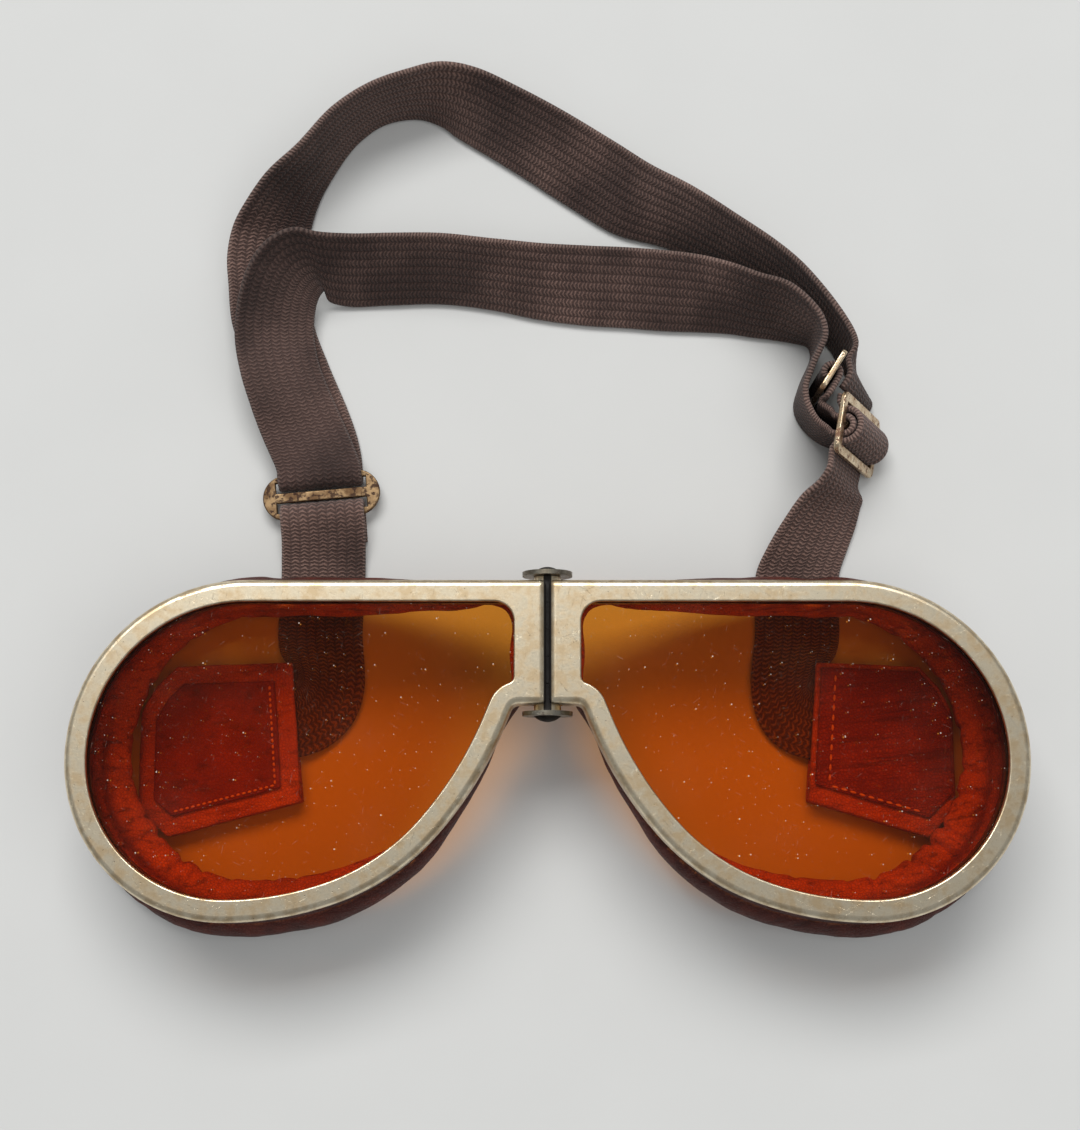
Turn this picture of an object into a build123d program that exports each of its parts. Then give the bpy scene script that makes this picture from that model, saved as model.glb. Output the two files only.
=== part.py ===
from build123d import *
import math
import os

os.makedirs("parts", exist_ok=True)

# Centre-hinged flying goggles, lying face up on the backs of their cushions.
# While it is drawn, X = 0 and Y = 0 are the middle and top of the bridge, and Z = 0 is the table.
# Every eyepiece is drawn on the wearer's side that has +X, and mirrored for the other.
# Lengths are millimetres and angles are degrees.

# Eyepiece outline: a straight brow, two temple arcs, three cheek arcs, a short run and a nose hollow
rim_front = 27.0
bridge_reach = 5.0
temple_upper_radius = 31.0
temple_lower_radius = 28.2
temple_turn = 90.0
cheek_radius = 58.2
cheek_turn = 18.4
inner_cheek_radius = 41.2
inner_cheek_turn = 30.4
nose_side_radius = 67.5
nose_side_turn = 18.8
nose_run = 3.0
nose_hollow_radius = 1.5
overrun = 10.0

# Pressed rim
rim_depth = 6.5
rim_sheet = 0.8
rim_lip = 0.9
rim_rounding = 1.2
lip_rounding = 0.3
bridge_gap = 0.56
bridge_corner = 0.9
opening_inset = 3.9
opening_bridge_edge = 5.9
opening_corner = 3.5
opening_nose_corner = 1.2
lug_width = 2.6
fit_gap = 0.3

# Hinge
hinge_drop = 5.0
knuckle_radius = 2.4
knuckle_count = 5
knuckle_gap = 0.1
knuckle_proud = 1.0
relief_gap = 0.3
relief_half_angle = 42.0
pin_radius = 1.2
pin_fit = 0.05
washer_radius = 4.45
washer_thickness = 0.8
rivet_radius = 2.4
rivet_height = 1.0

# Lens and what holds it
lens_inset = 1.2
lens_thickness = 2.0
gasket_thickness = 0.8
gasket_inset = 1.3
retainer_width = 0.6
retainer_height = 1.8

# Leather cup
leather = 1.2
cup_skirt_gap = 0.3
cup_flare_share = 0.2
nose_slope_share = 0.55
cup_nose_corner = 3.0
cup_hollow_radius = 5.5
cup_overreach = 2.0
head_nose_lift = 14.8
head_touch = 91.0
vent_radius = 1.7
vent_pitch = 8.1
vent_count = 4
vent_first = 40.4
vent_drop = 12.2

# Cushion roll
roll_height = 6.5
roll_seat_gap = 0.3
roll_outer_bulge = 2.2
roll_inner_bulge = 6.0
roll_flat = 0.5
roll_nose_share = 0.5
roll_full_at = 34.0
roll_stations = 32
roll_foot_share = 0.14
roll_outer_foot_share = 0.5
roll_inner_foot_share = 0.6
roll_side_share = 0.45
nose_width_share = 0.8

# Leather tabs, folded in under the lenses: each is a hairpin of leather with a stitched facing
tab_gap = 0.2
tab_height = 27.0
tab_layer_gap = 0.3
patch_thickness = 0.8
patch_border = 3.4
patch_edge = 0.9
left_tab_end = 46.4
right_tab_end = 49.2
tab_root = 74.0
tab_top = 12.4
tab_corner_shares = (
    (0.05, 0.0),
    (0.83, 0.03),
    (0.97, 0.175),
    (1.08, 0.37),
    (1.08, 1.0),
    (0.86, 1.2),
    (-0.03, 0.96),
)

# Elastic webbing
webbing_width = 16.0
webbing = 1.2
table_gap = 0.1

# Left buckle: a round-ended plate with two slots
plate_length = 22.4
plate_width = 8.8
plate_thickness = 1.0
plate_slot_length = 17.2
plate_slot_width = 2.0
plate_bar = 1.9
plate_bearing = 5.0
plate_place_shares = (-0.431, 0.198)
plate_rounding = 0.25
wrap_radius = 1.9

# Right buckle: a rectangular plate with two slots, standing on edge in the webbing
buckle_length = 20.4
buckle_width = 11.7
buckle_thickness = 1.0
buckle_window = 17.0
buckle_slot_width = 3.45
buckle_bar = 1.2
buckle_corner = 1.6
buckle_place_shares = (0.585, 0.299)
buckle_lift = 9.3
buckle_bearing = 170.0
buckle_lean = 61.0
inner_wrap = 1.65
outer_wrap = 3.15
weave_depth = 1.65

# Slider: a three-bar loop that stands in the webbing
slider_length = 19.4
slider_width = 8.6
slider_thickness = 1.0
slider_window = 17.0
slider_bar = 1.2
slider_offset_shares = (-0.3625, 0.6437)
slider_bearing = 57.6
slider_corner = 1.0
loop_radius = 1.5

# Strap route. Each row is the place of the lower edge, its lift, and the way across the webbing.
# Places and lifts are shares of the webbing's width, measured from the piece named above the rows,
# or of the loop's reach; bearing and lean are degrees.
loop_reach = 100.0
tail_share = 0.36
wrap_step = 22.5
loop_turn = 250.0
# Near the left tab's inner corner
left_tab_rows = (
    (-0.225, -0.125, 0.1, -90, 0),
    (-0.094, -0.1, 0.1, -80, -1),
    (-0.087, -0.075, 0.1, -66, -4),
    (-0.106, -0.044, 0.106, -50, -5),
    (-0.144, -0.012, 0.112, -34, -5),
    (-0.2, 0.038, 0.094, -18, -4),
    (-0.256, 0.138, 0.05, -6, -2),
    (-0.288, 0.306, 0.0, 0, 0),
)
# Near the left buckle's lower bar
left_plate_rows = (
    (-0.494, -0.772, 0.0, 0, 0),
    (-0.488, -0.535, 0.056, 1.5, 0),
    (-0.48, -0.307, 0.163, 4, 0),
    (-0.489, -0.152, 0.225, 5, 0),
)
# Near the right tab's inner corner
right_tab_rows = (
    (0.419, 1.087, 0.0, 180, 3),
    (0.4, 0.775, 0.0, 180, 0),
    (0.4, 0.463, 0.0, 180, 0),
    (0.388, 0.256, 0.0, 181, 0),
    (0.337, 0.106, 0.075, 188, -3),
    (0.263, 0.006, 0.112, 202, -4),
    (0.188, -0.056, 0.112, 218, -4.5),
    (0.125, -0.088, 0.106, 235, -5),
    (0.094, -0.112, 0.1, 250, -3),
    (0.106, -0.131, 0.1, 262, -1),
    (0.206, -0.137, 0.1, 270, 0),
)
# Near the right buckle: the webbing below it, the slider's leg, the other leg and the outer band's end
right_buckle_rows = (
    (0.131, -0.656, 0.025, 174, 50),
    (0.106, -0.756, 0.0, 177, 39),
    (0.038, -1.012, 0.0, 178, 25),
    (-0.075, -1.306, 0.0, 179, 13),
)
slider_leg_rows = (
    (-0.35, 0.287, 0.025, 165, 81),
    (-0.05, 0.162, 0.006, 170, 71),
)
curl_rows = (
    (-0.069, -0.05, 0.006, 170, 69),
    (-0.362, 0.062, 0.0, 165, 79),
    (-0.575, 0.287, 0.0, 150, 85),
    (-0.631, 0.475, 0.0, 120, 87),
    (-0.588, 0.656, 0.0, 100, 88),
    (-0.531, 0.806, 0.0, 95, 88),
    (-0.462, 0.95, 0.0, 90, 88),
    (-0.413, 1.1, 0.0, 85, 88),
    (-0.456, 1.25, 0.0, 86, 85),
)
outer_end_rows = (
    (-0.387, 1.437, 0.0, 95, 77),
    (-0.2, 1.243, 0.0, 90, 84),
    (-0.075, 1.031, 0.0, 95, 85),
    (0.031, 0.843, 0.0, 125, 80),
    (0.144, 0.681, 0.0, 150, 70),
    (0.269, 0.519, 0.025, 160, 64),
)
# Round the loop, as shares of its reach
inner_rows = (
    (0.482, 0.507, 0.0, 78, 75),
    (0.44, 0.513, 0.0, 80, 63),
    (0.397, 0.518, 0.0, 86, 58),
    (0.354, 0.524, 0.0, 89, 51),
    (0.296, 0.527, 0.0, 90, 41),
    (0.229, 0.529, 0.0, 90, 33),
    (0.155, 0.535, 0.0, 90, 33),
    (0.077, 0.54, 0.0, 90, 35),
    (-0.013, 0.552, 0.0, 90, 42),
    (-0.107, 0.572, 0.0, 88, 50),
    (-0.205, 0.584, 0.0, 87, 51),
    (-0.303, 0.582, 0.0, 85, 49),
    (-0.385, 0.579, 0.0, 87, 48),
    (-0.425, 0.586, 0.012, 98, 52),
    (-0.43, 0.597, 0.026, 118, 50),
    (-0.432, 0.6, 0.034, 140, 46),
    (-0.437, 0.595, 0.034, 158, 40),
    (-0.445, 0.582, 0.029, 173, 36),
    (-0.451, 0.556, 0.023, 184, 31),
    (-0.452, 0.515, 0.02, 189, 27),
    (-0.441, 0.456, 0.019, 193, 26),
    (-0.417, 0.396, 0.018, 194, 21),
    (-0.389, 0.335, 0.019, 191, 12),
    (-0.367, 0.285, 0.03, 187, 5),
    (-0.3556, 0.2548, 0.037, 185, 1),
)
outer_rows = (
    (-0.357, 0.27, 0.0, 185, 0),
    (-0.365, 0.31, 0.0, 184, 4),
    (-0.386, 0.37, 0.0, 182, 10),
    (-0.425, 0.46, 0.0, 182, 15),
    (-0.455, 0.54, 0.0, 184, 19),
    (-0.466, 0.62, 0.0, 186, 22),
    (-0.472, 0.675, 0.0, 186, 25),
    (-0.468, 0.723, 0.0, 184, 32),
    (-0.46, 0.76, 0.0, 182, 45),
    (-0.449, 0.797, 0.0, 177, 58),
    (-0.43, 0.839, 0.0, 168, 73),
    (-0.382, 0.913, 0.0, 156, 80),
    (-0.324, 0.958, 0.0, 135, 83),
    (-0.255, 0.969, 0.0, 105, 78),
    (-0.209, 0.952, 0.0, 84, 64),
    (-0.178, 0.928, 0.0, 66, 52),
    (-0.129, 0.897, 0.0, 52, 45),
    (-0.057, 0.851, 0.0, 49, 39),
    (0.056, 0.775, 0.0, 53, 36),
    (0.135, 0.727, 0.0, 55, 40),
    (0.233, 0.7, 0.0, 54, 57),
    (0.334, 0.654, 0.0, 68, 66),
    (0.416, 0.606, 0.0, 80, 68),
    (0.476, 0.568, 0.0, 90, 71),
)


def arc_from(edge, radius, turn):
    """A tangent arc that goes on from the end of an edge; a positive turn goes right."""
    return JernArc(start=edge @ 1, tangent=edge % 1, radius=radius, arc_size=-turn)


def outline_edges(inset, hollow_radius, run):
    """Brow, temple, cheek, nose side and nose hollow of one eyepiece, drawn in by inset."""
    edges = [Line((0, -inset), (run, -inset))]
    arcs = (
        (temple_upper_radius, temple_turn),
        (temple_lower_radius, temple_turn),
        (cheek_radius, cheek_turn),
        (inner_cheek_radius, inner_cheek_turn),
        (nose_side_radius, nose_side_turn),
    )
    for radius, turn in arcs:
        edges.append(arc_from(edges[-1], radius - inset, turn))
    turn = cheek_turn + inner_cheek_turn + nose_side_turn
    straight = nose_run + (nose_hollow_radius - hollow_radius) * math.tan(math.radians(turn / 2))
    edges.append(Line(edges[-1] @ 1, edges[-1] @ 1 + (edges[-1] % 1) * straight))
    edges.append(arc_from(edges[-1], hollow_radius + inset, -turn))
    return edges


# The curve of the head meets the table at head_touch, and is head_nose_lift above it at the nose
head_radius = (head_touch**2 + head_nose_lift**2) / (2 * head_nose_lift)

# The brow is as long as it takes for the nose hollow to end at the bridge bar's reach
outline_width = temple_upper_radius * 4
drawn_end = outline_edges(0, nose_hollow_radius, outline_width)[-1] @ 1
brow_run = outline_width + bridge_reach - drawn_end.X
bar_height = -drawn_end.Y


def rim_face(inset, hollow_radius=nose_hollow_radius):
    """One eyepiece with its bridge bar, out to the plane of symmetry."""
    edges = outline_edges(inset, hollow_radius, brow_run)
    bar_end = edges[-1] @ 1
    edges.append(Line(bar_end, (0, bar_end.Y)))
    edges.append(Line((0, bar_end.Y), (0, -inset)))
    return make_face(edges)


def beyond(face, edge_x):
    """The part of a flat face that lies further out than edge_x."""
    size = face.bounding_box().size
    keep = Pos(edge_x + size.X / 2, -size.Y / 2) * Rectangle(size.X, size.Y * 2)
    return face & keep


def corner_at(face, x, y):
    """The vertex of a flat face nearest to a place."""
    return face.vertices().sort_by_distance((x, y, 0))[0]


def slab(face, bottom, top):
    """A flat face drawn at Z = 0, raised between two heights."""
    return extrude(Pos(0, 0, bottom) * face, top - bottom, dir=(0, 0, 1))


rim_back = rim_front - rim_depth
hinge_height = rim_front - hinge_drop
knuckle_length = (bar_height + 2 * knuckle_proud + knuckle_gap) / knuckle_count - knuckle_gap


def knuckle_places():
    """Top end of each knuckle along the pin, from the brow down."""
    step = knuckle_length + knuckle_gap
    return [knuckle_proud - step * number for number in range(knuckle_count)]


def along_pin(radius, top, length):
    """A round bar on the hinge axis, from its top end down."""
    start = Plane(origin=(0, top, hinge_height), z_dir=(0, -1, 0))
    return extrude(start * Circle(radius), length)


def fold_wedge():
    """The room behind the hinge axis that the other half needs when the goggles fold."""
    reach = rim_depth * 2
    half = reach * math.tan(math.radians(relief_half_angle))
    far = hinge_height - reach
    face = Plane.XZ * make_face(Polyline((0, hinge_height), (half, far), (-half, far), close=True))
    return extrude(face, bar_height + overrun, both=True)


def rim(first_knuckle):
    """Pressed rim with its lip, skirt and bridge bar, and every second knuckle of the hinge."""
    shape = beyond(rim_face(0), bridge_gap / 2)
    corners = [corner_at(shape, 0, 0), corner_at(shape, 0, -bar_height)]
    body = slab(fillet(corners, bridge_corner), rim_back, rim_front)
    front_edges = body.faces().sort_by(Axis.Z)[-1].outer_wire().edges()
    body = fillet(front_edges, rim_rounding)
    cavity = beyond(rim_face(rim_sheet), lug_width)
    body -= slab(cavity, rim_back - overrun, rim_front - rim_lip)
    body -= slab(opening_face(), rim_back, rim_front + overrun)
    lip_edges = body.faces().sort_by(Axis.Z)[-1].inner_wires()[0].edges()
    body = fillet(lip_edges, lip_rounding)
    body -= fold_wedge()
    for number, top in enumerate(knuckle_places()):
        if number % 2 == first_knuckle:
            body += along_pin(knuckle_radius, top, knuckle_length)
        else:
            room = top + knuckle_gap
            body -= along_pin(knuckle_radius + relief_gap, room, knuckle_length + 2 * knuckle_gap)
    body -= along_pin(pin_radius + pin_fit, overrun, bar_height + 2 * overrun)
    return body


def opening_face():
    """The window in the rim, with a round brow corner and a tight nose corner."""
    face = beyond(rim_face(opening_inset), opening_bridge_edge)
    face = fillet([corner_at(face, opening_bridge_edge, -opening_inset)], opening_corner)
    nose = face.vertices().sort_by(Axis.X)[0:2].sort_by(Axis.Y)[0]
    return fillet([nose], opening_nose_corner)


def lens_pane(inset):
    """A flat pane that fits the rim, as far as the hinge lug."""
    face = beyond(rim_face(inset), lug_width + fit_gap)
    brow = corner_at(face, lug_width + fit_gap, -inset)
    return fillet([brow], bridge_corner)


lens_front = rim_front - rim_lip
lens_back = lens_front - lens_thickness
gasket_back = lens_back - gasket_thickness


def lens():
    return slab(lens_pane(lens_inset), lens_back, lens_front)


def gasket():
    """Thin ring between the lens and the leather."""
    inner = beyond(rim_face(opening_inset - fit_gap), opening_bridge_edge - fit_gap)
    return slab(lens_pane(gasket_inset), gasket_back, lens_back) - slab(inner, gasket_back, lens_back)


def flared(inset):
    """A solid that widens backwards from the gasket, cut along the sloping nose side."""
    depth = gasket_back + cup_overreach
    front = Pos(0, 0, gasket_back) * rim_face(inset, cup_hollow_radius)
    back = Pos(0, 0, -cup_overreach) * rim_face(inset - depth * cup_flare_share, cup_hollow_radius)
    return loft([front, back], ruled=True)


def nose_cut(start):
    """Everything outside a plane that leans away from the nose, from start at the gasket."""
    bottom = -cup_overreach
    lean = (gasket_back - bottom) * nose_slope_share
    reach = brow_run + temple_upper_radius + overrun
    points = (start, gasket_back), (start + lean, bottom), (reach, bottom), (reach, gasket_back)
    face = Plane.XZ * make_face(Polyline(*points, close=True))
    return extrude(face, reach, both=True)


def head_side(lift):
    """Everything in front of the curve of the wearer's head, raised by lift."""
    reach = head_touch + overrun
    floor = Line((head_touch + overrun, lift), (head_touch, lift))
    sweep_angle = math.degrees(math.asin(reach / head_radius))
    brow = arc_from(floor, head_radius, sweep_angle)
    top = rim_front + overrun
    rest = Polyline(brow @ 1, ((brow @ 1).X, top), (floor @ 0).X * Vector(1, 0) + Vector(0, top), floor @ 0)
    face = Plane.XZ * make_face([floor, brow, rest])
    return extrude(face, reach, both=True)


def cup_block(inset, start, corner):
    """A flared block with its corner between brow and nose rounded."""
    block = flared(inset) & nose_cut(start)
    brow = block.edges().filter_by(lambda edge: edge.length > gasket_back)
    brow = brow.filter_by(lambda edge: abs((edge @ 0).Z - (edge @ 1).Z) > gasket_back)
    return fillet(brow.sort_by(Axis.X)[0:1].sort_by(Axis.Y)[-1:], corner)


def vent_bars():
    """The row of round vents behind the rim, through the brow wall and the cheek wall."""
    bars = Part()
    for number in range(vent_count):
        place = (vent_first + number * vent_pitch, 0, rim_front - vent_drop)
        vent = Plane(origin=place, z_dir=(0, -1, 0)) * Circle(vent_radius)
        bars += extrude(vent, bar_height * 4, both=True)
    return bars


def cup_wall():
    """Leather cup: it flares back from the rim to the curve of the head."""
    skirt = rim_sheet + cup_skirt_gap + (gasket_back - rim_back) * cup_flare_share
    start = lug_width + fit_gap
    outer = cup_block(skirt, start, cup_nose_corner)
    inner = cup_block(skirt + leather, start + leather, cup_nose_corner - leather)
    wall = (outer - inner) & head_side(roll_height + roll_seat_gap)
    in_rim = slab(rim_face(rim_sheet + cup_skirt_gap), rim_back - cup_skirt_gap, rim_front)
    behind = slab(rim_face(-cup_overreach * 2, cup_hollow_radius), -cup_overreach, rim_back - cup_skirt_gap)
    return (wall & (in_rim + behind)) - vent_bars()


def retainer():
    """Thin ring that presses the leather into the rim."""
    skirt = rim_sheet + cup_skirt_gap + (gasket_back - rim_back) * cup_flare_share + leather + fit_gap
    start = lug_width + fit_gap + leather + fit_gap + retainer_height * nose_slope_share
    bottom = gasket_back - retainer_height
    ring = Part()
    for width in (0, retainer_width):
        face = beyond(rim_face(skirt + width), start + width)
        corner = corner_at(face, start + width, -skirt - width)
        block = slab(fillet([corner], cup_nose_corner - width), bottom, gasket_back)
        ring = ring - block if width else block
    return ring


def hinge_pin():
    """Rivet pin with a domed head at each end."""
    reach = knuckle_proud + knuckle_gap + washer_thickness
    pin = along_pin(pin_radius, reach, bar_height + 2 * reach)
    for end, aim in ((reach, 1), (-bar_height - reach, -1)):
        dome_radius = (rivet_radius**2 + rivet_height**2) / (2 * rivet_height)
        centre = end + aim * (rivet_height - dome_radius)
        ball = Pos(0, centre, hinge_height) * Sphere(dome_radius)
        half = Pos(0, end + aim * dome_radius, hinge_height) * Box(*[dome_radius * 2] * 3)
        pin += ball & half
    return pin


def washer(top):
    """Round washer between the outer knuckle and the rivet head."""
    return along_pin(washer_radius, top, washer_thickness) - along_pin(
        pin_radius + pin_fit, top, washer_thickness
    )


def roll_section(place, outward, along, share):
    """Section of the cushion roll: a seat along the cup's edge, two bulging sides and a crown."""
    seat_lean = leather * outward.X * (head_touch - place.X) / head_radius
    outer = roll_outer_bulge * share
    inner = -leather - roll_inner_bulge * share
    foot = roll_height * roll_foot_share
    outer_foot = (outer * roll_outer_foot_share, foot)
    inner_foot = (inner * roll_inner_foot_share, foot)
    side = roll_height * roll_side_share
    seat = Line((-leather, roll_height + seat_lean), (0, roll_height))
    outside = ThreePointArc(seat @ 1, (outer, side), outer_foot)
    crown = ThreePointArc(outer_foot, ((outer + inner) / 4, -roll_flat), inner_foot)
    inside = ThreePointArc(inner_foot, (inner, side), seat @ 0)
    return Plane(origin=place, x_dir=outward, z_dir=-along) * make_face([seat, outside, crown, inside])


def cushion(cup):
    """Padded roll behind the back edge of a cup, cut flat where it lies on the table."""
    back = cup.faces().filter_by(GeomType.CYLINDER)
    back = back.filter_by(lambda face: abs(face.radius - head_radius) < roll_flat)[0]
    path = back.outer_wire()
    points = [path.position_at(number / roll_stations) for number in range(roll_stations)]
    middle = Vector(brow_run * nose_width_share, -bar_height)
    sections = []
    for number, point in enumerate(points):
        along = points[(number + 1) % roll_stations] - points[number - 1]
        along = Vector(along.X, along.Y).normalized()
        outward = along.cross(Vector(0, 0, 1))
        if outward.dot(point - middle) < 0:
            along, outward = -along, -outward
        lift = Vector(0, 0, roll_height + roll_seat_gap)
        full = min(1, point.X / roll_full_at)
        share = roll_nose_share + (1 - roll_nose_share) * full
        sections.append(roll_section(point - lift, outward, along, share))
    half = roll_stations // 2
    roll = loft(sections[: half + 1]) + loft(sections[half:] + sections[:1])
    table = Pos(head_touch / 2, -bar_height, -overrun / 2) * Box(head_touch * 2, head_touch * 2, overrun)
    return roll - table


def heading(bearing, lean=0):
    """A unit vector at a bearing from +X, leaning up from the table."""
    flat = math.cos(math.radians(lean))
    turn = math.radians(bearing)
    return Vector(math.cos(turn) * flat, math.sin(turn) * flat, math.sin(math.radians(lean)))


def stations(rows, unit=webbing_width, near=(0, 0)):
    """Places and directions across the webbing, from rows of shares and angles."""
    found = []
    for x_share, y_share, lift_share, bearing, lean in rows:
        across = heading(bearing, lean)
        sole = table_gap + webbing / 2 * math.cos(math.radians(lean))
        place = Vector(*near, sole) + Vector(x_share, y_share, lift_share) * unit
        found.append((place, across))
    return found


def band(places):
    """Webbing through a list of stations, each an edge place and the way across."""
    middles = [place + across * (webbing_width / 2) for place, across in places]
    last = len(places) - 1
    sections = []
    for number, (place, across) in enumerate(places):
        ahead = middles[min(number + 1, last)] - middles[max(number - 1, 0)]
        face = across.cross(ahead).normalized() * (webbing / 2)
        far = place + across * webbing_width
        sections.append(make_face(Polyline(place + face, far + face, far - face, place - face, close=True)))
    return loft(sections, ruled=True)


def turn_about(centre, across, first, second, radius, start=0, end=180):
    """Stations round a bar: angles run from first towards second, both square to across."""
    count = max(1, round(abs(end - start) / wrap_step))
    found = []
    for number in range(count + 1):
        angle = math.radians(start + (end - start) * number / count)
        arm = first * (radius * math.cos(angle)) + second * (radius * math.sin(angle))
        found.append((centre - across * (webbing_width / 2) + arm, across))
    return found


def tab_plan(end):
    """Outline of a tab, seen from the front, from its inner end out to its root."""
    length = tab_root - end
    points = []
    for x_share, y_share in tab_corner_shares:
        points.append((end + x_share * length, -tab_top - y_share * tab_height))
    return make_face(Polyline(*points, close=True))


def hairpin(end, bottom, top):
    """Side view of a flat loop that is open at its inner end and round at the tab's root."""
    radius = (top - bottom) / 2
    lower = Line((end, bottom), (tab_root, bottom))
    bend = ThreePointArc((tab_root, bottom), (tab_root + radius, bottom + radius), (tab_root, top))
    rest = Polyline((tab_root, top), (end, top), (end, bottom))
    return extrude(Plane.XZ * make_face([lower, bend, rest]), tab_height * 2, both=True)


tab_slot = webbing + 2 * tab_layer_gap
tab_face = tab_gap + 2 * leather + tab_slot


def tab(end):
    """Leather tab doubled round the end of the webbing."""
    loop = hairpin(end - overrun, tab_gap, tab_face)
    loop -= hairpin(end - 2 * overrun, tab_gap + leather, tab_gap + leather + tab_slot)
    return loop & slab(tab_plan(end), 0, rim_front)


def patch(end, edge):
    """Stitched facing on the front of a tab: edge inside its outline, and a border above its lower edge."""
    face = offset(tab_plan(end), -edge, kind=Kind.INTERSECTION)
    face &= Pos(0, patch_border) * tab_plan(end)
    return slab(face, tab_face, tab_face + patch_thickness)


plate_lift = table_gap + webbing / 2 + wrap_radius
plate_bar_offset = (plate_bar / 2 + plate_slot_width + plate_width / 2) / 2
up = Vector(0, 0, 1)
plate_along = heading(plate_bearing)
plate_north = heading(plate_bearing + 90)
plate_place = Vector(*plate_place_shares) * loop_reach + up * plate_lift


def softened(plate):
    """A flat plate with the edges of both its faces rounded."""
    ends = plate.faces().filter_by(Axis.Z)
    return fillet(ends.edges(), plate_rounding)


def three_bar(outline, thickness, window, bar, slot):
    """Flat plate with a slot on each side of its middle bar, drawn about the origin."""
    for side in (-1, 1):
        outline -= Pos(0, side * (bar + slot) / 2) * Rectangle(window, slot)
    return softened(extrude(outline, thickness / 2, both=True))


def left_buckle():
    """Round-ended plate with a slot on each side of its middle bar."""
    outline = SlotOverall(plate_length, plate_width)
    body = three_bar(outline, plate_thickness, plate_slot_length, plate_bar, plate_slot_width)
    return Plane(origin=plate_place, x_dir=plate_along, z_dir=up) * body


buckle_place = Vector(*buckle_place_shares) * loop_reach + up * buckle_lift
buckle_across = heading(buckle_bearing, buckle_lean)
buckle_along = heading(buckle_bearing - 90)
buckle_back = buckle_across.cross(buckle_along)
slider_along = heading(slider_bearing)
slider_side = heading(slider_bearing - 90)
slider_centre = buckle_place + Vector(*slider_offset_shares) * webbing_width
slider_centre.Z = table_gap + slider_length / 2


def right_buckle():
    outline = RectangleRounded(buckle_length, buckle_width, buckle_corner)
    body = three_bar(outline, buckle_thickness, buckle_window, buckle_bar, buckle_slot_width)
    return Plane(origin=buckle_place, x_dir=buckle_across, z_dir=buckle_back) * body


def slider():
    outline = RectangleRounded(slider_length, slider_width, slider_corner)
    slot = (slider_width - 3 * slider_bar) / 2
    body = three_bar(outline, slider_thickness, slider_window, slider_bar, slot)
    return Plane(origin=slider_centre, x_dir=up, z_dir=slider_side) * body


def in_buckle(along, back):
    """A station in the right buckle, by its place along the webbing and behind the plate."""
    middle = buckle_place + buckle_along * along + buckle_back * back
    return middle - buckle_across * (webbing_width / 2), buckle_across


def weave_leg(side):
    """The webbing from behind one outer bar of the right buckle to its slot, inwards."""
    half = buckle_width / 2
    slot_edge = buckle_bar / 2 + buckle_slot_width
    bend = slot_edge - outer_wrap
    places = (
        (half + 2 * webbing, weave_depth),
        (half, weave_depth),
        (slot_edge + bend / 2, weave_depth),
        (outer_wrap + bend / 3, weave_depth - webbing / 2),
        (outer_wrap, buckle_thickness / 3),
    )
    return [in_buckle(side * along, back) for along, back in places]


def tab_end(side, end, rows):
    """The webbing's stations at a tab, from its sewn end in the tab's root outwards."""
    corner = (side * end, -tab_top)
    outer = stations(rows, near=corner)
    root = Vector(side * (tab_root - 2 * tab_slot), outer[0][0].Y, outer[0][0].Z)
    return [(root, outer[0][1])] + outer


def right_webbing():
    """Webbing from the right tab, up to the right buckle and over its middle bar."""
    over = turn_about(buckle_place, buckle_across, buckle_along, -buckle_back, outer_wrap)
    below = stations(right_buckle_rows, near=(buckle_place.X, buckle_place.Y))
    tab_leg = tab_end(1, right_tab_end, right_tab_rows[::-1])
    return band(weave_leg(1)[1:] + over + weave_leg(-1)[::-1] + below + tab_leg[::-1])


def left_webbing():
    """Webbing from the left tab, over the lower bar of the left buckle and back under it."""
    bar = plate_place - plate_north * plate_bar_offset
    over = turn_about(bar, plate_along, up, plate_north, wrap_radius)
    tail = (over[-1][0] - plate_north * webbing_width * tail_share, plate_along)
    below = stations(left_plate_rows, near=(bar.X, bar.Y))
    return band(tab_end(-1, left_tab_end, left_tab_rows) + below + over + [tail])


def slider_knob():
    """The strap's sewn end: a small loop round the slider's middle bar."""
    knob = turn_about(slider_centre, up, slider_side, slider_along, loop_radius, loop_turn, 0)
    past_bar = slider_centre + slider_side * loop_radius - slider_along * (slider_width / 2)
    return knob + [(past_bar - up * (webbing_width / 2), up)]


def nested_turn():
    """The strap's turn round the middle bar of the right buckle, inside the other webbing."""
    backs = (weave_depth * 4 / 3, weave_depth / 2)
    first = [in_buckle(inner_wrap, back) for back in backs]
    last = [in_buckle(-inner_wrap, back) for back in backs[::-1]]
    return first + turn_about(buckle_place, buckle_across, buckle_along, -buckle_back, inner_wrap) + last


def long_strap():
    """The adjustable strap: slider, right buckle, inner band, left buckle, outer band."""
    near = (buckle_place.X, buckle_place.Y)
    route = slider_knob() + stations(slider_leg_rows, near=near) + nested_turn()
    route += stations(curl_rows, near=near) + stations(inner_rows, unit=loop_reach)
    bar = plate_place + plate_north * plate_bar_offset
    route += turn_about(bar, -plate_along, up, -plate_north, wrap_radius)
    route += stations(outer_rows, unit=loop_reach) + stations(outer_end_rows, near=near)
    return band(route + [in_buckle(buckle_width / 2 + webbing, weave_depth)])


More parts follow.
